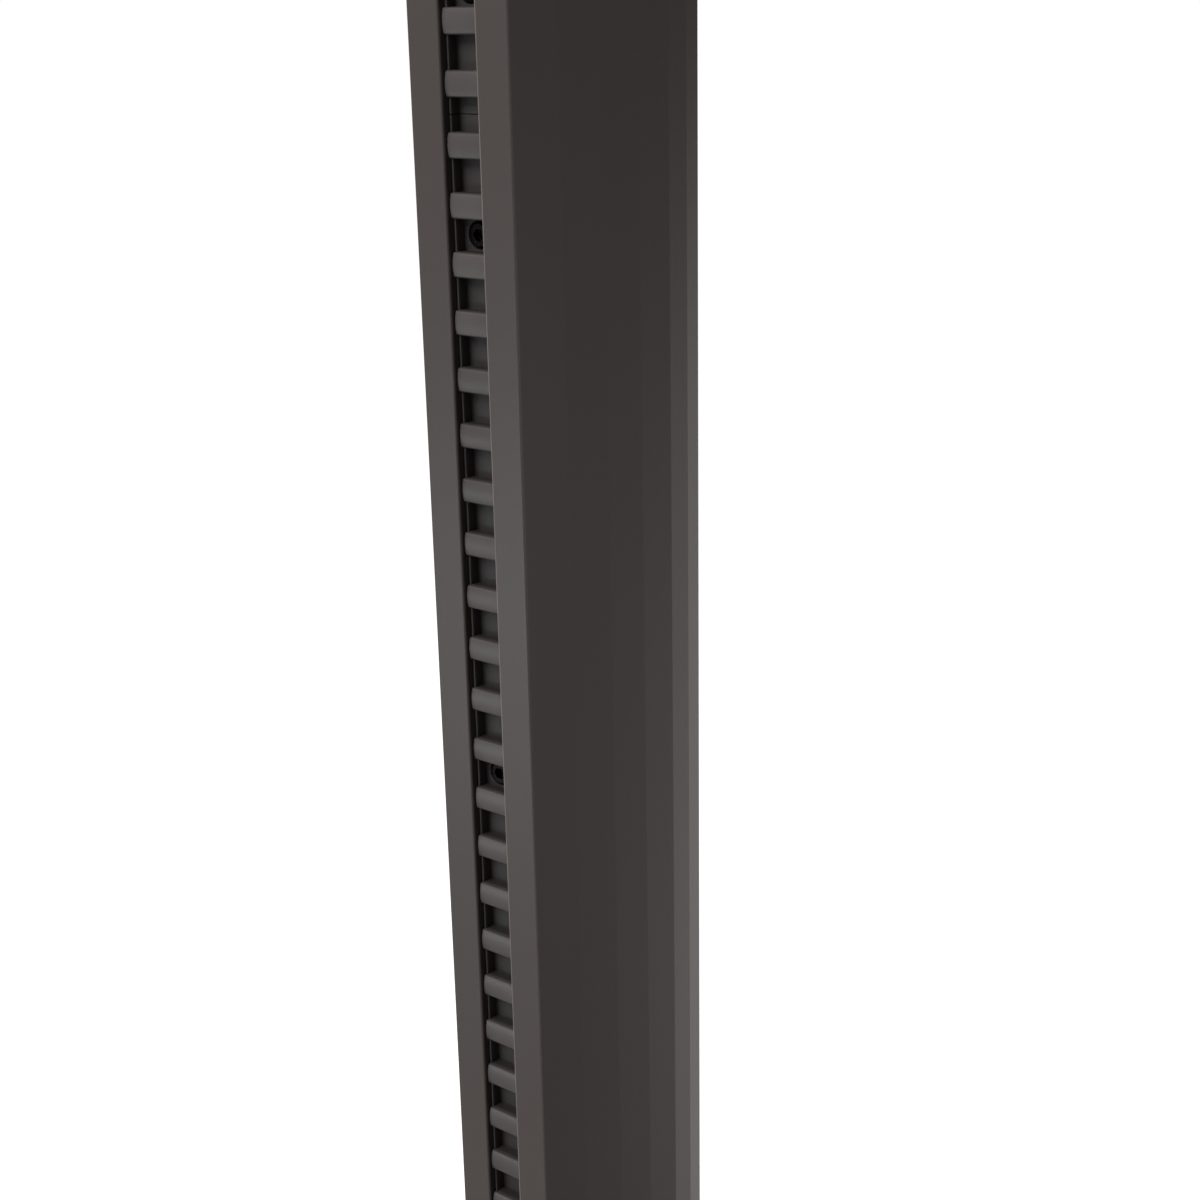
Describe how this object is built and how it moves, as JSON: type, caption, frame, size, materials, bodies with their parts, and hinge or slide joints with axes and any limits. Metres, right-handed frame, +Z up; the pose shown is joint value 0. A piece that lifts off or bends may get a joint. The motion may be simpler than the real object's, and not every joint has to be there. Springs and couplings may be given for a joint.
{
  "type": "rack post handrail",
  "caption": "Deck-mounted extruded post with a ladder rack in its front slot and a sliding, latching hand grip, released by a squeeze lever.",
  "frame": {"origin": "centre of the deck plate's underside, on the mast's long axis", "axes": "+Z up along the mast, -Y the slotted face with the rack and the grip, X along the rungs"},
  "size_m": [0.15, 0.2534, 1.1283],
  "materials": {
    "bronze_grey_coat": "fine satin powder coat, dark bronze grey",
    "rack_nylon": "satin moulded, dark grey",
    "black_steel": "blackened stainless socket screws and pin",
    "latch_steel": "machined stainless",
    "black_plastic": "fine-textured moulding",
    "grip_rubber": "matte ribbed elastomer"
  },
  "bodies": {
    "post": {"deck_plate": "bronze_grey_coat", "foot_collar": "bronze_grey_coat", "mast_extrusion": "bronze_grey_coat", "plate_screw_1": "black_steel", "plate_screw_2": "black_steel", "plate_screw_3": "black_steel", "plate_screw_4": "black_steel", "rack_screw_1": "black_steel", "rack_screw_2": "black_steel", "rack_screw_3": "black_steel", "rack_screw_4": "black_steel", "rack_screw_5": "black_steel", "rack_screw_6": "black_steel", "rack_segment_lower": "rack_nylon", "rack_segment_upper": "rack_nylon", "top_cap": "black_plastic"},
    "carriage": {"carriage_front": "bronze_grey_coat", "carriage_rear": "bronze_grey_coat", "clamp_screw_1": "black_steel", "clamp_screw_2": "black_steel", "clamp_screw_3": "black_steel", "clamp_screw_4": "black_steel", "grip_sleeve": "grip_rubber", "handle_bar": "bronze_grey_coat", "housing_screw_1": "black_steel", "housing_screw_2": "black_steel", "latch_housing": "bronze_grey_coat", "lever_pivot_pin": "black_steel", "liner_lower": "black_plastic", "liner_upper": "black_plastic"},
    "lever": {"release_lever": "black_plastic"},
    "latch": {"latch_bolt": "latch_steel"}
  },
  "joints": [
    {"name": "carriage_slide", "type": "slide", "parent": "post", "child": "carriage", "axis": [0, 0, 1], "range_m": [-0.66, 0.06]},
    {"name": "lever_pivot", "type": "hinge", "parent": "carriage", "child": "lever", "pos_m": [0, -0.0811, 1], "axis": [-1, 0, 0], "range_deg": [0, 13.6]},
    {"name": "latch_slide", "type": "slide", "parent": "carriage", "child": "latch", "axis": [0, -1, 0], "range_m": [0, 0.007], "stiffness_N_per_m": 1500, "springref_m": -0.01}
  ],
  "couplings": [
    {"joint": "lever_pivot", "follows": "latch_slide", "rad_per_m": 33.333}
  ]
}
